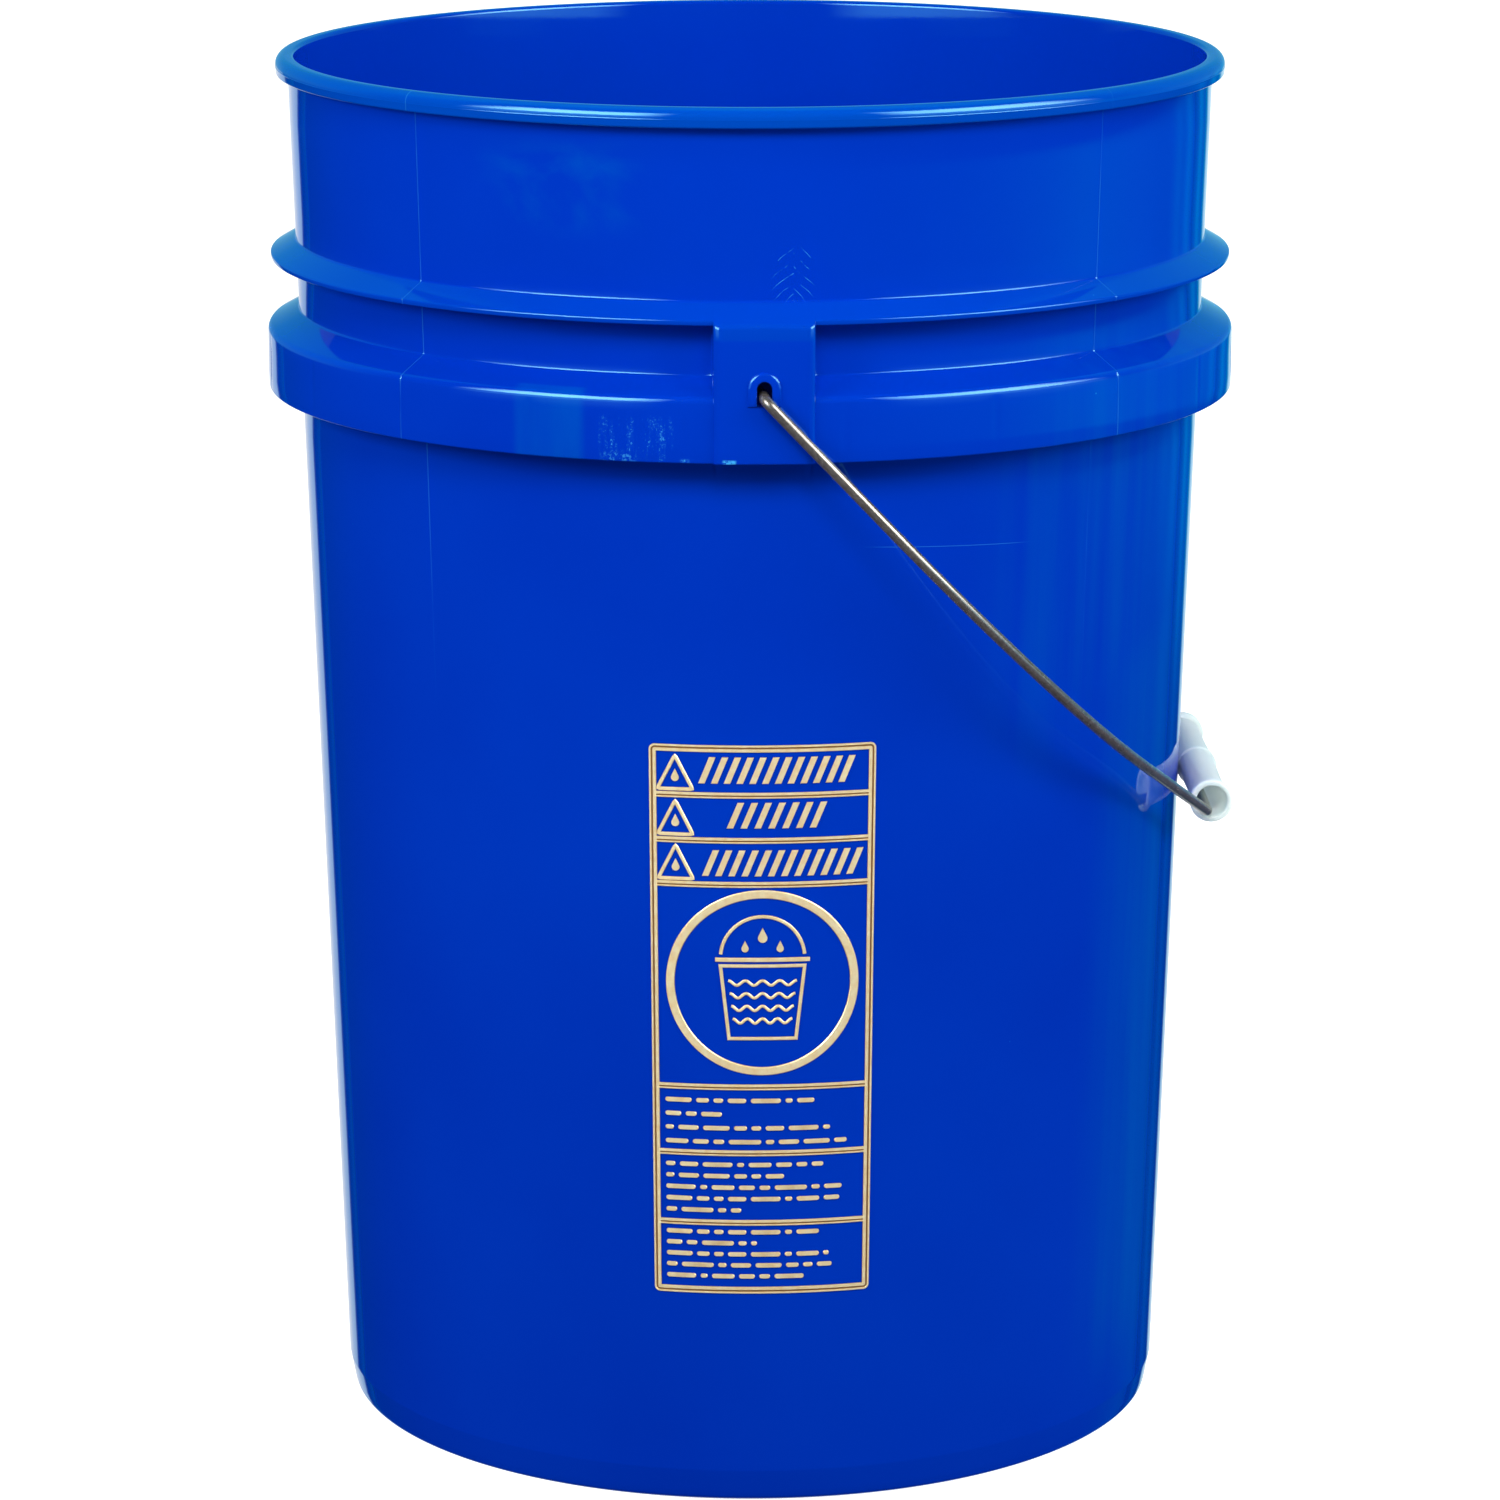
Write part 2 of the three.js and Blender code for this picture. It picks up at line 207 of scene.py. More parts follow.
def rounded(corners):
    """Points along a line of (point, radius, steps) corners, each turned into an arc of steps parts."""
    line = [corners[0][0]]
    for before, (at, radius, steps), after in zip(corners, corners[1:], corners[2:]):
        if steps == 0:
            line.append(at)
            continue
        inward = at - before[0]
        outward = after[0] - at
        room = 0.45 * min(inward.length, outward.length)
        turn = inward.angle(outward, 0.0)
        cut = min(max(radius * tan(min(turn, 3.0) / 2), 0.02), room)
        start = at - inward.normalized() * cut
        end = at + outward.normalized() * cut
        weight = cos(turn / 2)
        for k in range(steps + 1):
            t = k / steps
            a, b, c = (1 - t) ** 2, 2 * t * (1 - t) * weight, t * t
            line.append((start * a + at * b + end * c) / (a + b + c))
    line.append(corners[-1][0])
    return line


# ---- pail -----------------------------------------------------------------------------------------
OUTER_ROWS = (50, 90, 130, 170, 210, 250, 290, 325)
UPPER_ROWS = (395, 410, 425)
INNER_ROWS = (425, 395, 360, 320, 280, 240, 200, 160, 120, 80, 45)


def under_corners():
    """Underside and foot: (radius, height, fillet, steps), from the axis outward."""
    return [
        (0, FLOOR_UNDER, 0, 0), (22, FLOOR_UNDER, 0.3, 2), (22.4, FLOOR_UNDER - 0.5, 0.3, 2),
        (60, FLOOR_UNDER - 0.5, 0.3, 2), (60.4, FLOOR_UNDER, 0.3, 2), (104, FLOOR_UNDER, 0.3, 2),
        (104.4, FLOOR_UNDER - 0.4, 0.3, 2), (109, FLOOR_UNDER - 0.4, 0.3, 2),
        (109.4, FLOOR_UNDER, 0.3, 2), (124.6, FLOOR_UNDER, 1.2, 3), (126.2, 0, 0.5, 3),
        (132.9, 0, 2.2, 4), (133.7, 4.5, 3, 4), (wall_radius(10.5), 10.5, 6, 5),
    ]


def inner_corners():
    """Rim crest, inside wall and inside floor, ending on the axis."""
    floor_edge = wall_radius(FLOOR_TOP) - WALL_THICK
    turns = [radians(90 * k / RIM_STEPS) for k in range(RIM_STEPS + 1)]
    crest = [(RIM_RADIUS - RIM_ROUND * (1 - cos(t)), RIM_TOP - RIM_ROUND * (1 - sin(t)), 0, 0)
             for t in turns]
    return [
        (RIM_RADIUS - 0.02, RIM_TOP - 3.7, 0.1, 1), (RIM_RADIUS + 0.08, RIM_TOP - 3.5, 0.1, 1),
        (RIM_RADIUS - 0.02, RIM_TOP - 3.3, 0.1, 1), *crest,
        (146.3, RIM_TOP, 2.3, 8),
        *[(wall_radius(z) - WALL_THICK, z, 0, 0) for z in INNER_ROWS],
        (floor_edge, FLOOR_TOP, 6, 8), (90, FLOOR_TOP, 0, 0), (40, FLOOR_TOP, 0, 0),
        (0, FLOOR_TOP, 0, 0),
    ]


def rim_corners():
    return [
        *[(wall_radius(z), z, 0, 0) for z in UPPER_ROWS],
        (wall_radius(438.4), 438.4, 1.0, 3), (RIM_RADIUS - 0.1, 438.5, 0.6, 3),
    ]


def skirt_corners(sink, rib):
    """Channel, skirt and the wall above it, up to the collar's root."""
    root, edge = (RIB_BOTTOM, RIB_BOTTOM) if rib else (CHANNEL_ROOT, CHANNEL_EDGE)
    return [
        (wall_radius(root), root, 1, 2), (SKIRT_INSIDE, edge, 1, 2),
        (SKIRT_INSIDE - 0.1, SKIRT_BOTTOM, 0.4, 2), (SKIRT_RADIUS - 0.1, SKIRT_BOTTOM, 0.5, 4),
        *[(SKIRT_RADIUS - sink, z, 0, 0) for z in SKIRT_FACE], (SKIRT_RADIUS, SKIRT_TOP, 2.8, 7),
    ]


def collar_corners(lift=0.0):
    return [
        (wall_radius(SKIRT_ROOT) + lift, SKIRT_ROOT, 0.9, 4),
        (wall_radius(COLLAR_UNDER) + lift, COLLAR_UNDER, 0.9, 3),
        (154.75, 379.5, 0.35, 3), (COLLAR_RADIUS, COLLAR_EDGE, 0.6, 4),
    ]


def turned_point(radius, z, angle):
    return Vector((radius * sin(angle), -radius * cos(angle), z))


def plain_column(degree, sink=0.0, rib=False, rise=0.0):
    """A column of the pail away from the ears; rise lifts the outside for a mould seam."""
    angle = radians(degree)
    outside = [
        *skirt_corners(sink, rib), *collar_corners(),
        (wall_radius(COLLAR_ROOT), COLLAR_ROOT, 0.9, 5), *rim_corners(),
    ]
    outside = [(r + rise, z, f, n) for r, z, f, n in outside]
    walls = [(wall_radius(z), z, 0, 0) for z in OUTER_ROWS]
    corners = under_corners() + walls + outside + inner_corners()
    return rounded([(turned_point(r, z, angle), f, n) for r, z, f, n in corners])


def collar_height(radius):
    """Height of the collar's sloping top, carried on outward over the ears."""
    root = wall_radius(COLLAR_ROOT)
    return COLLAR_ROOT - (COLLAR_ROOT - COLLAR_EDGE) * (radius - root) / (COLLAR_RADIUS - root)


def on_plane(x, radius, z):
    """The point of the front at that radius, on the upright plane at x."""
    return Vector((x, -sqrt(radius * radius - x * x), z))


def ear_inside(x, kind):
    """Behind the ear's face: the roof of its hollow, or the foot of its solid side."""
    if kind == "hollow":
        depth = EAR_FACE - EAR_THICK
        return [(on_plane(x, wall_radius(EAR_ROOF), EAR_ROOF), 1, 2),
                (Vector((x, -depth, EAR_ROOF)), 1, 2), (Vector((x, -depth, SKIRT_BOTTOM)), 0.4, 2)]
    return [(on_plane(x, wall_radius(SKIRT_BOTTOM), SKIRT_BOTTOM), 1, 2),
            (Vector((x, -150, SKIRT_BOTTOM)), 1, 2), (Vector((x, -153.5, SKIRT_BOTTOM)), 0.4, 2)]


def ear_front(x, setback):
    """Up the ear's face to its top edge, which lies in the collar's slope."""
    face = EAR_FACE - setback
    top = collar_height(math.hypot(face, x))
    heights = ((SKIRT_BOTTOM, 0.5, 4), *[(z, 0, 0) for z in SKIRT_FACE], (SKIRT_TOP, 2.8, 7),
               (SKIRT_ROOT, 0.9, 4), (370, 0.9, 3), (375, 0.35, 3), (top, 2.0, 4))
    return [(Vector((x, -face, z)), f, n) for z, f, n in heights]


def ear_column(x, back, kind, setback, lift):
    """A column on the plane at x: through the ear (hollow or solid), or through the wall beside it."""
    angle = asin(x / EAR_COLUMN_RADIUS)
    if kind == "beside":
        middle = [(on_plane(x, r, z), f, n)
                  for r, z, f, n in skirt_corners(0, False) + collar_corners(lift)]
    else:
        middle = ear_inside(x, kind) + ear_front(x, setback)
    middle.append((on_plane(x, wall_radius(COLLAR_ROOT), COLLAR_ROOT), 0.9, 5))
    below = under_corners() + [(wall_radius(z), z, 0, 0) for z in OUTER_ROWS]
    above = rim_corners() + inner_corners()
    below, above = ([(turned_point(r, z, angle), f, n) for r, z, f, n in part]
                    for part in (below, above))
    side = -1 if back else 1
    return [Vector((side * p.x, side * p.y, p.z)) for p in rounded(below + middle + above)]


def ear_columns(back):
    """Every column of one ear, from side to side, each as (x, kind, setback of the face, lift)."""
    flat_end = EAR_HALF_WIDTH - EAR_CORNER_WIDE
    hollow = (1.5, 3, 4.5, 6, 7.5, 9, 10.5, 11.8, flat_end - 0.02)
    half = [(x, "hollow", 0.0, 0.0) for x in hollow] + [(flat_end, "solid", 0.0, 0.0)]
    for degree in range(10, 91, 10):
        turn = radians(degree)
        half.append((flat_end + EAR_CORNER_WIDE * sin(turn), "solid",
                     EAR_CORNER_DEEP * (1 - cos(turn)), 0.0))
    half += [(x, "beside", 0.0, lift) for x, lift in EAR_BESIDE]
    left = [(-x, kind, setback, lift) for x, kind, setback, lift in reversed(half)]
    return [ear_column(x, back, kind, setback, lift)
            for x, kind, setback, lift in left + [(0.0, "hollow", 0.0, 0.0)] + half]


def plain_columns(start, end):
    """Columns between two ears, with narrow ones at the ribs and the mould seams."""
    pitch = 360 / RIB_COUNT
    ribs = [pitch * k + pitch / 2 for k in range(RIB_COUNT)]
    special = {}
    for rib in ribs:
        for offset in (-RIB_HALF_ANGLE, 0.0, RIB_HALF_ANGLE):
            special[rib + offset] = dict(rib=True, sink=SINK_DEPTH)
        for offset in (-RIB_HALF_ANGLE - 0.02, RIB_HALF_ANGLE + 0.02):
            special[rib + offset] = dict(sink=SINK_DEPTH * 0.8)
        for offset in (-0.8, 0.8):
            special[rib + offset] = dict(sink=SINK_DEPTH * 0.35)
    for seam in SEAM_ANGLES:
        for offset in (-SEAM_HALF_ANGLE, SEAM_HALF_ANGLE):
            special[seam + offset] = {}
        special[seam] = dict(rise=SEAM_RISE)
    plain = [i * COLUMN_STEP for i in range(int(360 / COLUMN_STEP))]
    kept = [d for d in plain if all(abs(d - s) > 0.3 for s in special)]
    wanted = {**special, **{d: {} for d in kept}}
    return [plain_column(d, **wanted[d]) for d in sorted(wanted) if start < d < end]


def pail_shell():
    columns = ear_columns(False) + plain_columns(EAR_ZONE, 180 - EAR_ZONE)
    columns += ear_columns(True) + plain_columns(180 + EAR_ZONE, 360 - EAR_ZONE)
    rows = len(columns[0])
    points = [p for column in columns for p in column]
    return make_object("pail_shell", points, grid_faces(len(columns), rows), smooth=False)


def arch_outline(width, bottom, top, steps=20):
    """An upright arch in X and Z, anticlockwise, with a flat foot."""
    half = width / 2
    outline = [(-half, bottom), (half, bottom)]
    for k in range(steps + 1):
        turn = pi * k / steps
        outline.append((half * cos(turn), top - half + half * sin(turn)))
    return outline


def prism(name, layers):
    """A closed solid through (outline, y) layers with equal point counts."""
    points = [(x, y, z) for outline, y in layers for x, z in outline]
    faces = tube_faces(len(layers), len(layers[0][0]))
    return make_object(name, points, faces, smooth=False)


def turn_round(obj):
    obj.data.transform(Matrix.Rotation(pi, 4, "Z"))
    return obj


def add_boss_and_slot(shell, back):
    """The raised arch round the bail's hole, with a bevelled edge, then the hole itself."""
    front = EAR_FACE + BOSS_PROUD
    layers = [(arch_outline(BOSS_WIDTH, BOSS_BOTTOM, BOSS_TOP), -EAR_FACE + 1)]
    for inset, below in ((0.0, 0.75), (0.12, 0.48), (0.36, 0.26), (0.75, 0.09), (1.3, 0.0)):
        outline = arch_outline(BOSS_WIDTH - 2 * inset, BOSS_BOTTOM + inset, BOSS_TOP - inset)
        layers.append((outline, below - front))
    boss = prism("boss", layers)
    slot = prism("slot", [
        (arch_outline(SLOT_WIDTH, SLOT_BOTTOM, SLOT_TOP), -EAR_FACE + EAR_THICK + 1),
        (arch_outline(SLOT_WIDTH, SLOT_BOTTOM, SLOT_TOP), -front + 0.25),
        (arch_outline(SLOT_WIDTH + 0.9, SLOT_BOTTOM - 0.45, SLOT_TOP + 0.45), -front - 0.2),
    ])
    for tool, operation in ((boss, "UNION"), (slot, "DIFFERENCE")):
        if back:
            turn_round(tool)
        boolean(shell, tool, operation)


def gate_nub():
    """The trimmed gate of the moulding, in the middle of the underside."""
    outline = [(0, FLOOR_UNDER + 1), (4.2, FLOOR_UNDER + 1), (4.2, 2.6), (3.9, 2.3), (1.6, 2.3),
               (1.3, 1.6), (0, 1.5)]
    sides = 40
    points = [turned_point(r, z, 2 * pi * i / sides) for i in range(sides) for r, z in outline]
    return make_object("gate", points, grid_faces(sides, len(outline)), smooth=False)


def make_pail():
    shell = pail_shell()
    for back in (False, True):
        add_boss_and_slot(shell, back)
    boolean(shell, gate_nub(), "UNION")
    shell.name = shell.data.name = "pail_shell"
    clean(shell.data)
    shade(shell.data)
    return shell


# ---- bail -----------------------------------------------------------------------------------------
def line_points(start, end, spacing):
    count = max(1, round((end - start).length / spacing))
    return [start.lerp(end, k / count) for k in range(count)]


def arc_points(start, inward, outward, radius, turn, steps):
    side = (outward - inward * outward.dot(inward)).normalized()
    angles = [turn * k / steps for k in range(steps)]
    return [start + inward * radius * sin(a) + side * radius * (1 - cos(a)) for a in angles]


def bail_path():
    """Points in the bail's own plane: X from the pivot line to the grip, Y along the pivot line."""
    cut = SHOULDER_RADIUS * tan(SHOULDER_TURN / 2)
    shoulder = (LEG_LENGTH + cut, LEG_OFFSET)
    grip_y = LEG_OFFSET - (REACH - shoulder[0]) * tan(SHOULDER_TURN)
    half = [((0, LEG_OFFSET), END_BEND, 14), (shoulder, SHOULDER_RADIUS, 60),
            ((REACH, grip_y), GRIP_BEND, 12)]
    corners = [(Vector((x, -y)), r, n) for (x, y), r, n in half]
    corners += [(Vector((x, y)), r, n) for (x, y), r, n in reversed(half)]
    start = Vector((0, -END_INNER))
    finish = Vector((0, END_INNER))
    stops = [start] + [c[0] for c in corners] + [finish]
    points = []
    at = start
    for i, (corner, radius, steps) in enumerate(corners, 1):
        inward = (corner - stops[i - 1]).normalized()
        outward = (stops[i + 1] - corner).normalized()
        turn = inward.angle(outward)
        bend_cut = radius * tan(turn / 2)
        bend_start = corner - inward * bend_cut
        points += line_points(at, bend_start, 0.5 if i in (1, len(corners)) else 4.0)
        points += arc_points(bend_start, inward, outward, radius, turn, steps)
        at = corner + outward * bend_cut
    points += line_points(at, finish, 0.5)
    return points + [finish]


def press(distance):
    """How far the wire is pressed flat at that distance from the pail's axis: 0 round, 1 flat."""
    t = min(max((PRESS_START - distance) / PRESS_LENGTH, 0.0), 1.0)
    return t * t * (3 - 2 * t)


def wire_section(at, side, normal, pressed, scale):
    wide = (WIRE_RADIUS + (PRESSED_HALF_WIDTH - WIRE_RADIUS) * pressed) * scale
    thin = (WIRE_RADIUS + (PRESSED_HALF_THICK - WIRE_RADIUS) * pressed) * scale
    turns = [2 * pi * i / WIRE_SIDES for i in range(WIRE_SIDES)]
    return [at + side * wide * cos(t) + normal * thin * sin(t) for t in turns]


def wire_rings(path):
    """(centre, across, normal, how far pressed flat) at each point of the bail's path."""
    normal = Vector((0, 0, 1))
    rings = []
    for i, point in enumerate(path):
        tangent = (path[min(i + 1, len(path) - 1)] - path[max(i - 1, 0)]).normalized()
        near_end = abs(point.x) < 0.5
        pressed = press(abs(point.y)) if near_end else 0.0
        side = Vector((tangent.y, -tangent.x, 0))
        rings.append((Vector((point.x, point.y, 0)), side, normal, pressed))
    return rings


def wire_end(ring, inward):
    """The wire's rounded tip as three sections, tip first; inward is 1 or -1 along Y."""
    return [(ring[0] + Vector((0, inward * inset, 0)), *ring[1:], scale) for inset, scale in WIRE_END]


def make_bail():
    """A round wire swept along the bail's path, with its ends pressed flat behind the ears."""
    rings = wire_rings(bail_path())
    sections = wire_end(rings[0], 1) + [(*ring, 1.0) for ring in rings[1:-1]]
    sections += reversed(wire_end(rings[-1], -1))
    points = [p for section in sections for p in wire_section(*section)]
    place = Matrix.Translation((0, 0, PIVOT_Z)) @ Matrix.Rotation(BAIL_DROP, 4, "Y")
    return make_object("bail_rod", [place @ p for p in points], tube_faces(len(sections), WIRE_SIDES))


# ---- grip -----------------------------------------------------------------------------------------
def grip_outline():
    """(radius, distance along the grip, fillet, steps), once round the tube's wall."""
    end = GRIP_HALF_LENGTH
    outer = [
        (GRIP_BORE, 8, 0, 0), (GRIP_BORE, end - 1.2, 0.4, 2), (GRIP_BORE + 0.35, end, 0.35, 4),
        (GRIP_FLANGE, end, 0.9, 6), (GRIP_FLANGE, end - 3.0, 0.8, 5),
        (GRIP_WAIST, end - 5.2, 1.4, 6), (GRIP_WAIST, 25, 0, 0), (GRIP_WAIST + 0.2, 9, 4.0, 5),
        (GRIP_WAIST + 0.5, 2.0, 0.5, 4), (GRIP_BEAD, 1.1, 0.5, 5),
    ]
    mirrored = [(r, -y, f, n) for r, y, f, n in reversed(outer)]
    return outer + mirrored


def make_grip():
    """A plastic tube with a flange at each end and a bead in the middle."""
    corners = [(Vector((r, y)), f, n) for r, y, f, n in grip_outline()]
    line = rounded(corners + [corners[0]])
    x0 = REACH * cos(BAIL_DROP) + GRIP_SHIFT[0]
    z0 = PIVOT_Z - REACH * sin(BAIL_DROP) + GRIP_SHIFT[1]
    points = []
    for i in range(GRIP_SIDES):
        turn = 2 * pi * i / GRIP_SIDES
        points += [(x0 + p.x * cos(turn), p.y, z0 + p.x * sin(turn)) for p in line]
    return make_object("grip_tube", points, grid_faces(GRIP_SIDES, len(line)))


# ---- stamped panel --------------------------------------------------------------------------------
def on_wall(s, z, rise):
    """A point that lies s round the wall from the front, at height z, and stands out by rise."""
    return turned_point(wall_radius(z) + rise, z, s / PANEL_RADIUS)


def stroke(width, edge=0.24):
    """Section of a raised line: (offset across, rise)."""
    half = width / 2
    return [(-half, FOIL_ROOT), (-half + 0.05, FOIL_RISE * 0.5), (-half + edge, FOIL_RISE),
            (half - edge, FOIL_RISE), (half - 0.05, FOIL_RISE * 0.5), (half, FOIL_ROOT)]


def double_stroke(outer, groove, inner):
    """Section of a raised line with a groove along it."""
    half = (outer + groove + inner) / 2
    a = -half + outer
    b = a + groove
    return [(-half, FOIL_ROOT), (-half + 0.05, 0.18), (-half + 0.22, FOIL_RISE),
            (a - 0.14, FOIL_RISE), (a + 0.02, 0.1), (b - 0.02, 0.1), (b + 0.12, FOIL_RISE * 0.9),
            (half - 0.18, FOIL_RISE * 0.9), (half - 0.04, 0.18), (half, FOIL_ROOT)]


def subdivide(path, closed, longest=1.5):
    """The same line with extra points, so that it follows the wall's curve."""
    ends = list(zip(path, path[1:] + path[:1])) if closed else list(zip(path, path[1:]))
    dense = []
    for (s0, z0), (s1, z1) in ends:
        count = max(1, math.ceil(math.hypot(s1 - s0, z1 - z0) / longest))
        dense += [(s0 + (s1 - s0) * k / count, z0 + (z1 - z0) * k / count) for k in range(count)]
    return dense if closed else dense + [path[-1]]


def ribbon(points, faces, path, section, closed=False):
    """Adds a raised line with that section along a path of (s, z) points, mitred at its corners."""
    path = subdivide(list(path), closed)
    count, width = len(path), len(section)
    base = len(points)
    for i, (s, z) in enumerate(path):
        before = path[i - 1] if closed or i > 0 else None
        after = path[(i + 1) % count] if closed or i < count - 1 else None
        inward = Vector((s - before[0], z - before[1])).normalized() if before else None
        outward = Vector((after[0] - s, after[1] - z)).normalized() if after else None
        inward = inward or outward
        outward = outward or inward
        middle = (inward + outward).normalized()
        across = Vector((-middle.y, middle.x))
        stretch = 1 / max(0.4, across.dot(Vector((-inward.y, inward.x))))
        for offset, rise in section:
            shift = across * offset * stretch
            points.append(on_wall(s + shift.x, z + shift.y, rise))
    for i in range(count if closed else count - 1):
        j = (i + 1) % count
        for k in range(width):
            n = (k + 1) % width
            faces.append((base + i * width + k, base + j * width + k,
                          base + j * width + n, base + i * width + n))
    if not closed:
        faces.append(tuple(base + k for k in range(width)))
        faces.append(tuple(base + (count - 1) * width + k for k in range(width)))


def blob(points, faces, outline):
    """Adds a raised flat shape with a bevelled edge, from an anticlockwise convex (s, z) outline."""
    count = len(outline)
    centre = Vector((sum(p[0] for p in outline) / count, sum(p[1] for p in outline) / count))
    reach = max((Vector(p) - centre).length for p in outline)
    base = len(points)
    layers = ((1.0, FOIL_ROOT), (1.0 - 0.05 / reach, FOIL_RISE * 0.5),
              (1.0 - 0.26 / reach, FOIL_RISE))
    for scale, rise in layers:
        for p in outline:
            q = centre + (Vector(p) - centre) * scale
            points.append(on_wall(q.x, q.y, rise))
    faces.extend(tube_faces(len(layers), count, base))


def capsule(s0, s1, z, height, steps=6):
    """Outline of a rounded bar."""
    r = height / 2
    outline = []
    for centre, first in ((s1 - r, -90), (s0 + r, 90)):
        for k in range(steps + 1):
            turn = radians(first + 180 * k / steps)
            outline.append((centre + r * cos(turn), z + r * sin(turn)))
    return outline


def frame_lines(points, faces):
    """The panel's border and the lines between its rows."""
    low, high = PANEL_ROWS[0], PANEL_ROWS[-1]
    inset, corner = 1.17, 0.7
    s, z0, z1 = PANEL_HALF_WIDTH - inset, low + inset, high - inset
    border = []
    for cs, cz, first in ((s - corner, z0 + corner, -90), (s - corner, z1 - corner, 0),
                          (-s + corner, z1 - corner, 90), (-s + corner, z0 + corner, 180)):
        for k in range(5):
            turn = radians(first + 90 * k / 4)
            border.append((cs + corner * cos(turn), cz + corner * sin(turn)))
    ribbon(points, faces, border, double_stroke(0.75, 0.45, 1.15), closed=True)
    for row in PANEL_ROWS[1:-1]:
        ribbon(points, faces, [(-s + 0.2, row), (s - 0.2, row)], double_stroke(0.65, 0.35, 1.0))


def triangles(points, faces):
    """A three-cornered outline with a drop inside, at the left of each title row."""
    for base in (233.2, 218.8, 204.6):
        corners = [(-32.0, base + 0.6), (-21.2, base + 0.6), (-26.6, base + 11.3)]
        path = []
        for i, corner in enumerate(corners):
            at = Vector(corner)
            before, after = Vector(corners[i - 1]), Vector(corners[(i + 1) % 3])
            start = at + (before - at).normalized() * 0.7
            end = at + (after - at).normalized() * 0.7
            path += [tuple(start), tuple((start + end + at * 2) / 4), tuple(end)]
        ribbon(points, faces, path, stroke(1.25), closed=True)
        drop(points, faces, -26.6, base + 4.3, 1.25)


def drop(points, faces, s, z, size):
    """A small water drop, pointing up."""
    outline = []
    for k in range(15):
        turn = radians(-210 + 240 * k / 14)
        outline.append((s + size * cos(turn), z + size * sin(turn)))
    outline.append((s, z + size * 2.3))
    blob(points, faces, outline)


def title_stripes(points, faces):
    """A band of slanted bars in each title row, in place of words."""
    lean, width = 3.4, 2.0
    for first, last, low, high in ((-19.6, 28.2, 235.7, 244.2), (-11.0, 19.6, 221.5, 229.8),
                                   (-18.6, 31.0, 206.2, 214.6)):
        room = last - first - lean - width
        count = int(room / 3.75)
        pitch = room / count
        for k in range(count + 1):
            s = first + k * pitch
            blob(points, faces, [(s, low), (s + width, low), (s + width + lean, high),
                                 (s + lean, high)])


def pictogram(points, faces):
    """A ring round a pail of water, with drops over it."""
    turns = [2 * pi * k / 120 for k in range(120)]
    circle = [(RING_RADIUS * cos(t), RING_CENTRE + RING_RADIUS * sin(t)) for t in turns]
    ribbon(points, faces, circle, stroke(2.8, edge=0.3), closed=True)
    top, bottom = RING_CENTRE + 5.5, RING_CENTRE - 18.0
    line = stroke(1.2)
    pail = [(-13.0, top), (-10.4, bottom), (10.4, bottom), (13.0, top)]
    ribbon(points, faces, pail, line, closed=True)
    ribbon(points, faces, [(-14.6, top + 2.0), (14.6, top + 2.0)], stroke(1.5))
    handle = [(13.0 * cos(radians(a)), top + 2.4 + 13.5 * sin(radians(a))) for a in range(6, 175, 6)]
    ribbon(points, faces, handle, line)
    for k, z in enumerate((top - 5.5, top - 9.6, top - 13.7, top - 17.8)):
        half = 10.6 - 0.45 * k
        wave = [(-half + 2 * half * i / 48, z + 0.75 * cos(2 * pi * 4 * i / 48)) for i in range(49)]
        ribbon(points, faces, wave, stroke(1.0))
    for s, z, size in ((-5.4, top + 5.6, 1.15), (0.0, top + 9.0, 1.5), (5.4, top + 5.6, 1.15)):
        drop(points, faces, s, z, size)


def body_rows(points, faces):
    """Lines of rounded dashes in the three lower rows, in place of text."""
    lines = []
    for top, step, spans in ((133.6, 4.5, (47, 18, 54, 58)), (112.6, 3.75, (50, 39, 56, 56, 24)),
                             (90.4, 3.65, (51, 29, 52, 53, 44))):
        lines += [(top - step * k, span) for k, span in enumerate(spans)]
    words = (8.5, 4.2, 3.2, 6.0, 9.6, 2.4, 7.4, 5.2, 3.6, 10.4, 2.8, 6.6)
    at = 0
    for z, span in lines:
        s, end = -30.6, -30.6 + span
        while s < end - 1.6:
            length = min(words[at % len(words)], end - s)
            at += 1
            blob(points, faces, capsule(s, s + length, z, 1.45))
            s += length + 1.25


def make_panel():
    points, faces = [], []
    for draw in (frame_lines, triangles, title_stripes, pictogram, body_rows):
        draw(points, faces)
    return make_object("stamped_foil", points, faces)


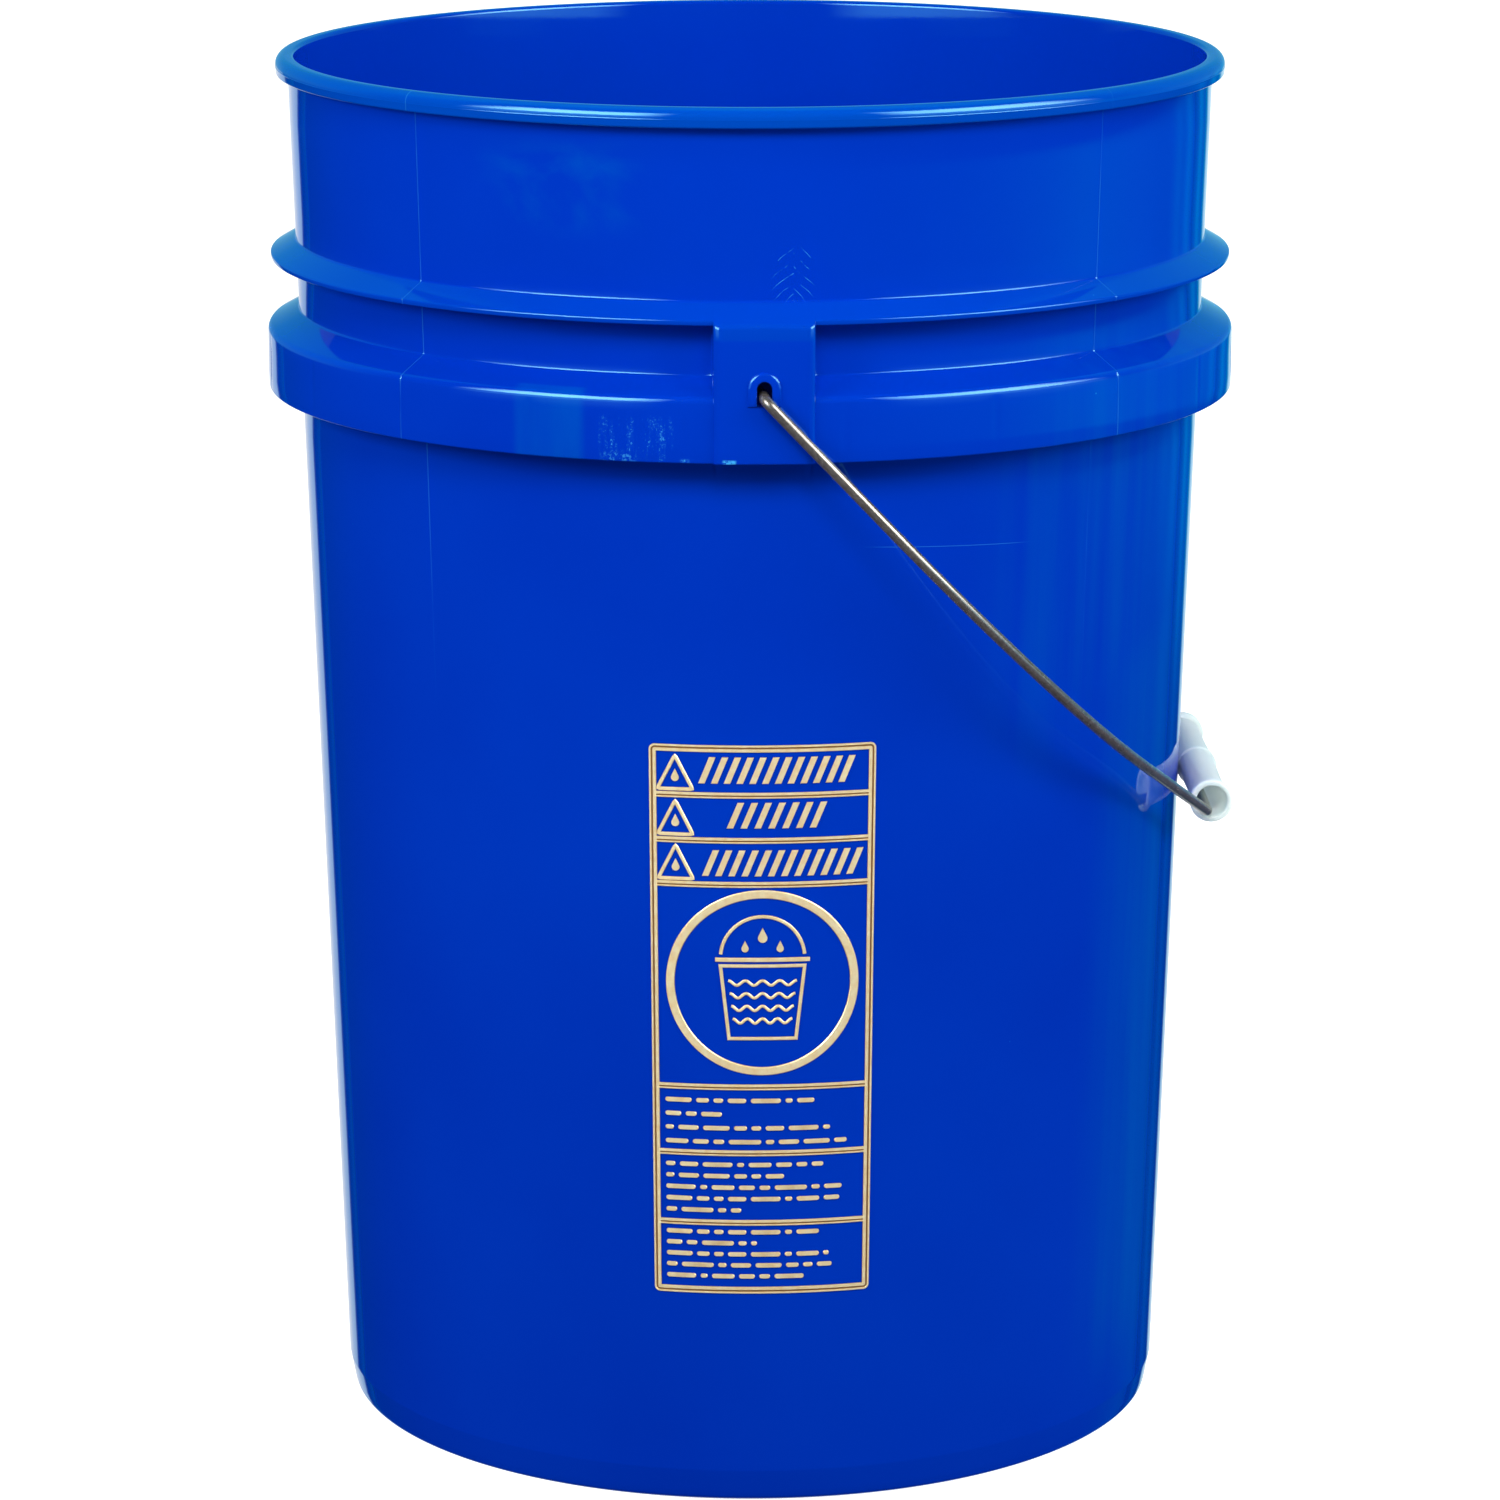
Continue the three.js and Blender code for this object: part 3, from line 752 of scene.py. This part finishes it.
# ---- materials ------------------------------------------------------------------------------------
class Nodes:
    """A short way to write node trees: add() makes a node, sets its sockets and links them."""

    def __init__(self, name, world=None):
        owner = world or bpy.data.materials.new(name)
        owner.use_nodes = True
        self.owner = owner
        self.tree = owner.node_tree
        self.tree.nodes.clear()

    def add(self, kind, settings=None, **sockets):
        node = self.tree.nodes.new("ShaderNode" + kind)
        for key, value in (settings or {}).items():
            setattr(node, key, value)
        for key, value in sockets.items():
            key = int(key[1:]) if key[0] == "i" and key[1:].isdigit() else key.replace("_", " ")
            socket = node.inputs[key]
            if isinstance(value, bpy.types.NodeSocket):
                self.tree.links.new(value, socket)
            else:
                socket.default_value = value
        return node

    def ramp(self, factor, stops):
        node = self.add("ValToRGB", Fac=factor)
        elements = node.color_ramp.elements
        while len(elements) > 1:
            elements.remove(elements[-1])
        for i, (position, colour) in enumerate(stops):
            element = elements[0] if i == 0 else elements.new(position)
            element.position = position
            element.color = (*colour, 1) if len(colour) == 3 else (colour[0],) * 3 + (1,)
        return node.outputs["Color"]

    def math(self, operation, a, b=0.0, c=0.0, clamp=False):
        settings = {"operation": operation, "use_clamp": clamp}
        return self.add("Math", settings, i0=a, i1=b, i2=c).outputs[0]

    def times(self, a, b):
        return self.math("MULTIPLY", a, b)

    def most(self, a, b):
        return self.math("MAXIMUM", a, b)

    def step(self, pattern, low, high):
        """0 where the pattern is under low, 1 where it is over high."""
        return self.ramp(pattern, [(low, (0.0,)), (high, (1.0,))])

    def noise(self, vector, scale, detail=3.0, roughness=0.5, distortion=0.0):
        return self.add("TexNoise", Vector=vector, Scale=scale, Detail=detail, Roughness=roughness,
                        Distortion=distortion).outputs["Fac"]

    def mix(self, factor, a, b, blend="MIX"):
        node = self.add("Mix", {"data_type": "RGBA", "blend_type": blend}, i0=factor, i6=a, i7=b)
        return node.outputs[2]

    def stretched(self, vector, scale):
        return self.add("Mapping", Vector=vector, Scale=scale).outputs[0]

    def surface(self, shader):
        """Ends the tree with that shader, and gives the material."""
        self.add("OutputMaterial", Surface=shader.outputs[0])
        return self.owner


def wall_places(m):
    """Sockets for a point of the pail: its place, degrees round from the front, and in millimetres its
    height and how far it lies outside the wall's outer face."""
    place = m.add("TexCoord").outputs["Object"]
    axes = m.add("SeparateXYZ", Vector=place).outputs
    turn = m.math("ARCTAN2", axes["X"], m.times(axes["Y"], -1.0))
    height = m.times(axes["Z"], 1 / MM)
    flat = m.add("CombineXYZ", X=axes["X"], Y=axes["Y"]).outputs[0]
    radius = m.add("VectorMath", {"operation": "LENGTH"}, i0=flat).outputs["Value"]
    wall = m.math("MULTIPLY_ADD", height, WALL_DRAFT, WALL_BASE_RADIUS)
    outside = m.math("SUBTRACT", m.times(radius, 1 / MM), wall)
    return place, m.times(turn, 180 / pi), height, outside


def band(m, value, low, high, soft):
    """1 between low and high, falling to 0 over soft on both sides."""
    rise = m.add("MapRange", {"interpolation_type": "SMOOTHSTEP"}, Value=value)
    fall = m.add("MapRange", {"interpolation_type": "SMOOTHSTEP"}, Value=value)
    for node, start, end in ((rise, low - soft, low), (fall, high + soft, high)):
        node.inputs["From Min"].default_value = start
        node.inputs["From Max"].default_value = end
    return m.times(rise.outputs[0], fall.outputs[0])


def patch(m, turn, height, middle, size, soft):
    """A soft-edged patch on the wall round (degrees, height), size half its width and height."""
    return m.times(band(m, turn, middle[0] - size[0], middle[0] + size[0], soft[0]),
                   band(m, height, middle[1] - size[1], middle[1] + size[1], soft[1]))


def pattern_in_mask(m, mask, pattern, low, high):
    """A pattern cut off between low and high, kept inside a mask."""
    return m.times(mask, m.step(pattern, low, high))


def seam_highlight_mask(m, place, height, outside):
    """Painted highlight along the thin lines where the mould's four sides meet, on the outside only,
    broken and fading downward.
    """
    axes = m.add("SeparateXYZ", Vector=place).outputs
    across = m.math("SUBTRACT", m.math("ABSOLUTE", axes["X"]), m.math("ABSOLUTE", axes["Y"]))
    line = band(m, m.times(across, 1 / MM), -0.12, 0.12, 0.28)
    line = m.times(line, band(m, outside, -0.3, 30.0, 0.2))
    line = m.times(line, band(m, height, 350.0, 450.0, 120.0))
    return pattern_in_mask(m, line, m.noise(place, 45.0, 2.0), 0.3, 0.6)


def scratch_mask(m, place, turn, height):
    """Hair scratches: a chevron of strokes over the front ear, and a long line below the skirt."""
    ridge = 3.5
    aside = m.math("ABSOLUTE", m.math("SUBTRACT", turn, ridge))
    lean = m.math("MULTIPLY_ADD", aside, 2.5, height)
    lean = m.math("ADD", lean, m.times(m.math("GREATER_THAN", turn, ridge), 1.5))
    jitter = m.times(m.noise(place, 70.0, 2.0), 6.0)
    wave = m.math("FRACT", m.times(m.math("ADD", lean, jitter), 1 / 3.7))
    strokes = band(m, wave, 0.485, 0.5, 0.03)
    around = patch(m, turn, height, (ridge, 394.0), (1.5, 5.0), (1.2, 4.0))
    chevron = pattern_in_mask(m, m.times(strokes, around), m.noise(place, 210.0, 3.0), 0.43, 0.52)
    slope = m.math("MULTIPLY_ADD", turn, 0.14, height)
    line = m.times(band(m, slope, 311.1, 311.2, 0.12), band(m, turn, 16.5, 31.0, 5.0))
    return m.most(m.times(chevron, 0.85), m.times(line, 0.25))


def painted_sheen_mask(m, place, turn, height, outside):
    """Painted sheen: a greener patch high on the wall, a painted reflection down the skirt's face, and
    faint painted reflections running down the right side.
    """
    def near(middle, size, soft):
        return patch(m, turn, height, middle, size, soft)

    wisps = m.noise(m.stretched(place, (24, 24, 40)), 1.0, 7.0, 0.6, 0.4)
    upper_wall_sheen = pattern_in_mask(m, near((-24.5, 419.0), (5.0, 7.0), (8.0, 10.0)), wisps, 0.42, 0.68)
    skirt_sheen_pattern = m.noise(m.stretched(place, (60, 60, 12)), 1.0, 6.0, 0.6)
    skirt_sheen = pattern_in_mask(m, near((-24.6, 345.0), (3.4, 14.0), (1.3, 3.0)), skirt_sheen_pattern, 0.2, 0.55)
    skirt_sheen = m.times(skirt_sheen, band(m, outside, 7.5, 30.0, 1.0))
    right_sheen_streaks = m.noise(m.stretched(place, (110, 110, 3)), 1.0, 6.0, 0.6)
    side = pattern_in_mask(m, near((50.0, 305.0), (9.0, 25.0), (16.0, 60.0)), right_sheen_streaks, 0.3, 0.75)
    edge = pattern_in_mask(m, near((63.0, 150.0), (4.0, 100.0), (13.0, 40.0)), right_sheen_streaks, 0.15, 0.65)
    right = m.most(m.times(side, 0.42), m.times(edge, 0.45))
    faint = m.most(m.times(skirt_sheen, 0.4), right)
    return m.most(m.times(upper_wall_sheen, 0.6), faint)


def scuff_mask(m, place, turn, height, outside):
    """Rubbed speckle low on the skirt, a rub and two nicks on its edge, and a few specks elsewhere."""
    def near(middle, size, soft):
        return patch(m, turn, height, middle, size, soft)

    streaks = m.noise(m.stretched(place, (500, 500, 50)), 1.0, 5.0, 0.7)
    outer = band(m, outside, 4.0, 30.0, 1.0)
    rubbed = pattern_in_mask(m, near((-14.4, 344.5), (2.2, 4.5), (3.0, 4.0)), streaks, 0.5, 0.75)
    rubbed = m.times(rubbed, outer)
    grain = m.noise(place, 1500.0, 3.0, 0.6)
    speckle = m.times(pattern_in_mask(m, rubbed, grain, 0.55, 0.62), 3.0)
    coarse = m.noise(place, 900.0, 3.0, 0.6)
    foot = pattern_in_mask(m, near((-16.3, 339.3), (1.0, 0.6), (1.5, 1.2)), coarse, 0.5, 0.6)
    nick = pattern_in_mask(m, near((-3.85, 338.6), (0.5, 0.3), (0.4, 0.7)), coarse, 0.35, 0.5)
    small = pattern_in_mask(m, near((-8.8, 338.7), (0.15, 0.2), (0.5, 0.6)), coarse, 0.4, 0.6)
    cells = m.add("TexVoronoi", Vector=place, Scale=48.0).outputs
    chosen = m.math("GREATER_THAN", m.add("SeparateColor", Color=cells["Color"]).outputs[0], 0.72)
    specks = m.times(band(m, cells["Distance"], -1.0, 0.01, 0.008), chosen)
    sharp = m.math("ADD", m.most(nick, small), m.times(specks, 0.45))
    sharp = m.most(sharp, m.times(m.most(speckle, foot), 0.5))
    return m.math("ADD", m.times(rubbed, 0.08), sharp, clamp=True)


def pail_material():
    """Blue polyethylene: glossy, faintly mottled, with scratches and scuffs, painted sheen on the rim,
    collar and a few patches, and painted highlights on its seams.
    """
    m = Nodes("pail_plastic")
    place, turn, height, outside = wall_places(m)
    cloud = m.noise(place, 9.0, 4.0)
    base = m.mix(m.step(cloud, 0.3, 0.75), (0.0, 0.0219, 0.34, 1), (0.0, 0.0276, 0.373, 1))
    # Painted sheen: the rim's bead and the collar are tinted greener, standing in for their brighter
    # lit look; thin carries this painted sheen.
    rim_sheen = m.times(band(m, height, 438.0, 450.0, 0.8), band(m, outside, 2.0, 30.0, 1.5))
    collar_sheen = m.times(band(m, height, 376.0, 389.0, 1.0), band(m, outside, 1.0, 30.0, 1.0))
    thin = m.most(rim_sheen, m.times(collar_sheen, 0.38))
    base = m.mix(thin, base, (0.0, 0.044, 0.335, 1))
    # Painted sheen and reflections: patches of the wall and skirt are tinted greener where light would
    # be mirrored.
    base = m.mix(painted_sheen_mask(m, place, turn, height, outside), base, (0.0, 0.078, 0.37, 1))
    # Painted highlight: the raised mould seams get a lighter line, as if they caught the light.
    seam_highlights = seam_highlight_mask(m, place, height, outside)
    scratches = scratch_mask(m, place, turn, height)
    scuffs = scuff_mask(m, place, turn, height, outside)
    # Real scratches and scuffs, together with the painted seam highlight, are mixed to a pale blue
    # below.
    wear_and_seam_highlight = m.most(m.times(seam_highlights, 0.22), m.most(scratches, scuffs))
    base = m.mix(wear_and_seam_highlight, base, (0.03, 0.27, 0.62, 1))
    fine = m.noise(place, 900.0, 2.0)
    bump = m.add("Bump", Strength=0.02, Distance=0.0001, Height=fine).outputs[0]
    smear = m.noise(m.stretched(place, (30, 30, 6)), 1.0, 5.0)
    rough = m.ramp(smear, [(0.3, (0.035,)), (0.75, (0.06,))])
    rough = m.math("MULTIPLY_ADD", wear_and_seam_highlight, 0.3, rough)
    shader = m.add("BsdfPrincipled", Base_Color=base, Roughness=rough, IOR=1.55, Normal=bump,
                   Specular_Tint=(0.34, 1.0, 1.0, 1))
    return m.surface(shader)


def steel_material():
    """Zinc-coated wire with fine drawn lines and a few dull grey spots."""
    m = Nodes("bail_steel")
    place = m.add("TexCoord").outputs["Object"]
    drawn = m.noise(m.stretched(place, (900, 60, 900)), 1.0, 3.0)
    dull = m.step(m.noise(place, 55.0, 4.0), 0.45, 0.7)
    base = m.mix(m.step(drawn, 0.35, 0.7), (0.16, 0.142, 0.122, 1), (0.25, 0.225, 0.195, 1))
    base = m.mix(m.times(dull, 0.5), base, (0.1, 0.09, 0.08, 1))
    rough = m.ramp(dull, [(0.0, (0.22,)), (1.0, (0.36,))])
    bump = m.add("Bump", Strength=0.08, Distance=0.0001, Height=drawn).outputs[0]
    shader = m.add("BsdfPrincipled", Base_Color=base, Metallic=0.7, Roughness=rough, Normal=bump)
    return m.surface(shader)


def grip_material():
    """Milky polyethylene that lets some light through."""
    m = Nodes("grip_plastic")
    place = m.add("TexCoord").outputs["Object"]
    cloud = m.noise(place, 60.0, 3.0)
    base = m.mix(m.step(cloud, 0.3, 0.7), (0.59, 0.715, 0.67, 1), (0.64, 0.75, 0.71, 1))
    fine = m.noise(place, 500.0, 2.0)
    bump = m.add("Bump", Strength=0.05, Distance=0.0001, Height=fine).outputs[0]
    shader = m.add("BsdfPrincipled", Base_Color=base, Roughness=0.36, IOR=1.42, Normal=bump,
                   Subsurface_Weight=0.85, Subsurface_Scale=0.0065)
    shader.inputs["Subsurface Radius"].default_value = (0.85, 1.0, 1.0)
    return m.surface(shader)


def foil_material():
    """Hot-stamped gold foil: bright on top, with painted shade in brown on the flanks of each raised
    line.
    """
    m = Nodes("gold_foil")
    place, _, _, outside = wall_places(m)
    mottle = m.noise(place, 420.0, 4.0)
    gold = m.mix(m.step(mottle, 0.3, 0.7), (0.94, 0.70, 0.34, 1), (1.0, 0.86, 0.52, 1))
    top = m.add("MapRange", Value=outside)
    top.inputs["From Min"].default_value = FOIL_RISE * 0.4
    top.inputs["From Max"].default_value = FOIL_RISE * 0.92
    # Painted shade: the flanks below the top of each raised line are mixed to brown.
    base = m.mix(top.outputs[0], (0.30, 0.15, 0.05, 1), gold)
    bump = m.add("Bump", Strength=0.15, Distance=0.0002, Height=mottle).outputs[0]
    shader = m.add("BsdfPrincipled", Base_Color=base, Metallic=0.5, Roughness=0.36, Normal=bump)
    return m.surface(shader)


# ---- studio ---------------------------------------------------------------------------------------
def make_floor():
    """A plain pale sheet for the camera only: as bright close by as far away, and never mirrored."""
    mesh = bpy.data.meshes.new("floor")
    size = 14.0
    mesh.from_pydata([(-size, -size, 0), (size, -size, 0), (size, size, 0), (-size, size, 0)], [],
                     [(0, 1, 2, 3)])
    floor = bpy.data.objects.new("floor", mesh)
    bpy.context.scene.collection.objects.link(floor)
    m = Nodes("pale_floor")
    shader = m.add("BsdfPrincipled", Base_Color=(0.85, 0.85, 0.85, 1), Roughness=0.9,
                   Specular_IOR_Level=0.0, Emission_Color=(1, 1, 1, 1), Emission_Strength=0.78)
    mesh.materials.append(m.surface(shader))
    floor.visible_glossy = False
    floor.visible_diffuse = False


# What glossy surfaces mirror of the studio, as (degrees, brightness or colour) stops. Azimuth 0 is the
# front and grows toward +X; elevation 0 is level.
SOFT_BOX_AZIMUTH = ((-76, 0.0), (-64, 0.8), (-50, 1.0), (-32, 0.9), (-22, 0.0),
                    (30, 0.0), (40, 0.7), (60, 0.9), (78, 0.7), (92, 0.0))
SOFT_BOX_ELEVATION = ((-7.5, (0, 0, 0)), (-4, (0.06, 0.11, 0.14)), (12, (0.09, 0.16, 0.2)),
                      (17, (0.95, 0.95, 0.95)), (30, (1, 1, 1)), (42, (0.95, 0.95, 0.95)),
                      (48, (0.02, 0.045, 0.05)), (56, (0, 0, 0)))
SOFT_BOX_STRENGTH = 16.0
BACKDROP_AZIMUTH = (
    (-180, (1, 1, 1)), (-169, (0.88, 0.96, 1)), (-157, (0.55, 0.85, 1)), (-156, (0, 0.03, 0.08)),
    (-151, (0, 0.06, 0.14)), (-149.5, (0, 0.14, 0.3)), (-148, (0, 0.03, 0.08)),
    (-120, (0, 0.0, 0.02)), (120, (0, 0.02, 0.2)), (140, (0, 0.1, 0.3)), (146, (0, 0.03, 0.1)),
    (149.5, (0, 0.03, 0.1)), (151, (0, 0.1, 0.3)), (158, (0, 0.04, 0.15)), (161, (0, 0.07, 0.2)),
    (162.5, (0.55, 0.9, 1)), (171, (0.88, 0.96, 1)), (180, (1, 1, 1)))
BACKDROP_ELEVATION = ((-90, 0.2), (-40, 1.0), (-7.5, 1.0), (-4.5, 0.12), (10, 0.0))
SIDE_PANEL_AZIMUTH = (
    (20, (0, 0, 0)), (60, (0, 0.2, 0.3)), (90, (0, 0.5, 0.7)), (110, (0, 0.3, 0.8)),
    (128, (0, 0.12, 0.5)), (134, (0, 0.25, 0.6)), (137, (0, 0.1, 0.4)), (141, (0, 0.3, 0.7)),
    (146, (0, 0.08, 0.3)), (152, (0, 0.3, 0.5)), (157, (0, 0.1, 0.3)), (160, (0, 0.35, 0.4)),
    (163, (0, 0.1, 0.1)))
SIDE_PANEL_ELEVATION = ((-13.5, 0.0), (-11.5, 0.85), (-9, 1.0), (-4, 0.6), (5, 0.0))
UPPER_ROOM_AZIMUTH = ((-180, 1.0), (-120, 0.9), (-95, 0.1), (95, 0.1), (120, 0.9), (180, 1.0))
UPPER_ROOM_ELEVATION = ((-8, (0, 0, 0)), (-4, (0.06, 0.4, 0.6)), (14, (0.03, 0.4, 0.6)),
                        (35, (0.02, 0.36, 0.5)), (60, (0.03, 0.62, 0.6)), (90, (0.03, 0.56, 0.55)))
# What lights matt surfaces besides the lamps: the room by its azimuth, and light from the ground.
MATT_ROOM = ((-180, 0.85), (-125, 0.85), (-100, 0.5), (-60, 0.1), (50, 0.1), (85, 0.9), (125, 1.2),
             (180, 0.85))
MATT_GROUND = ((-90, 0.45), (-12, 0.45), (0, 0.0))
LIGHT_TARGET = 0.24          # height in metres that the lamps look at


def profile(m, angle, stops, span):
    """Brightness or colour over an angle socket that runs from -span to span degrees."""
    share = m.math("MULTIPLY_ADD", angle, 90 / (pi * span), 0.5, clamp=True)
    stops = [(degree, value if isinstance(value, tuple) else (value,)) for degree, value in stops]
    return m.ramp(share, [((degree + span) / (2 * span), value) for degree, value in stops])


def make_world():
    """Two soft boxes in front, a white backdrop, a side panel and a dim room; and a matt light."""
    world = bpy.data.worlds.new("studio")
    # Without sampling, only rays that really leave a matt surface see the matt light.
    world.cycles.sampling_method = "NONE"
    bpy.context.scene.world = world
    m = Nodes("studio", world)
    direction = m.add("TexCoord").outputs["Generated"]
    axes = m.add("SeparateXYZ", Vector=direction).outputs
    azimuth = m.math("ARCTAN2", axes["X"], m.times(axes["Y"], -1.0))
    elevation = m.math("ARCSINE", axes["Z"])

    def crossed(around, up, blend):
        return m.mix(1.0, profile(m, azimuth, around, 180), profile(m, elevation, up, 90), blend)

    boxes = crossed(SOFT_BOX_AZIMUTH, SOFT_BOX_ELEVATION, "MULTIPLY")
    backdrop = crossed(BACKDROP_AZIMUTH, BACKDROP_ELEVATION, "MULTIPLY")
    upper = crossed(UPPER_ROOM_AZIMUTH, UPPER_ROOM_ELEVATION, "MULTIPLY")
    panel = crossed(SIDE_PANEL_AZIMUTH, SIDE_PANEL_ELEVATION, "MULTIPLY")
    room = m.mix(1.0, m.mix(1.0, backdrop, upper, "ADD"), panel, "ADD")
    bright = m.add("Background", Color=boxes, Strength=SOFT_BOX_STRENGTH)
    dim = m.add("Background", Color=room, Strength=1.0)
    mirrored = m.add("AddShader", i0=bright.outputs[0], i1=dim.outputs[0])
    matt = m.add("Background", Color=crossed(MATT_ROOM, MATT_GROUND, "ADD"), Strength=1.0)
    which = m.add("LightPath").outputs["Is Diffuse Ray"]
    either = m.add("MixShader", i0=which, i1=mirrored.outputs[0], i2=matt.outputs[0])
    m.add("OutputWorld", Surface=either.outputs[0])


def area_light(name, azimuth, elevation, distance, size, power):
    """A soft light without a mirror image, that looks at the pail from that azimuth and elevation."""
    target = Vector((0, 0, LIGHT_TARGET))
    a, e = radians(azimuth), radians(elevation)
    toward = Vector((sin(a) * cos(e), -cos(a) * cos(e), sin(e)))
    data = bpy.data.lights.new(name, "AREA")
    data.shape = "RECTANGLE"
    data.size, data.size_y = size
    data.energy = power
    light = bpy.data.objects.new(name, data)
    light.location = target + toward * distance
    light.rotation_euler = (-toward).to_track_quat("-Z", "Y").to_euler()
    light.visible_glossy = False
    light.visible_camera = False
    bpy.context.scene.collection.objects.link(light)


def make_lights():
    area_light("key_left", -58, 25, 1.6, (0.8, 0.5), 19.0)
    area_light("key_right", 58, 25, 1.6, (0.8, 0.5), 15.0)
    area_light("fill_front", 0, 40, 1.6, (0.9, 0.5), 20.3)
    area_light("fill_top", 0, 82, 2.2, (2.0, 2.0), 1.8)


def make_camera():
    """Looks down a little at the pail, from far enough to show it with little perspective."""
    turn, tilt, distance, height = radians(1.592), radians(13.203), 1.9491, 0.6704
    data = bpy.data.cameras.new("camera")
    data.sensor_width = 36.0
    data.lens = 145.46
    data.dof.use_dof = False
    camera = bpy.data.objects.new("camera", data)
    bpy.context.scene.collection.objects.link(camera)
    camera.location = (-distance * sin(turn), -distance * cos(turn), height)
    forward = Vector((sin(turn) * cos(tilt), cos(turn) * cos(tilt), -sin(tilt)))
    camera.rotation_euler = forward.to_track_quat("-Z", "Y").to_euler()
    bpy.context.scene.camera = camera
    bpy.context.scene.view_settings.view_transform = "Standard"


# ---- assembly -------------------------------------------------------------------------------------
def place_piece(piece, body, node, material):
    piece.data.materials.clear()
    piece.data.materials.append(material)
    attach(piece, body)
    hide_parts(node)


make_camera()
place_piece(make_pail(), "pail", "pail_body", pail_material())
place_piece(make_panel(), "pail", "foil_panel", foil_material())
place_piece(make_bail(), "bail", "bail_wire", steel_material())
place_piece(make_grip(), "grip", "hand_grip", grip_material())
make_floor()
make_world()
make_lights()
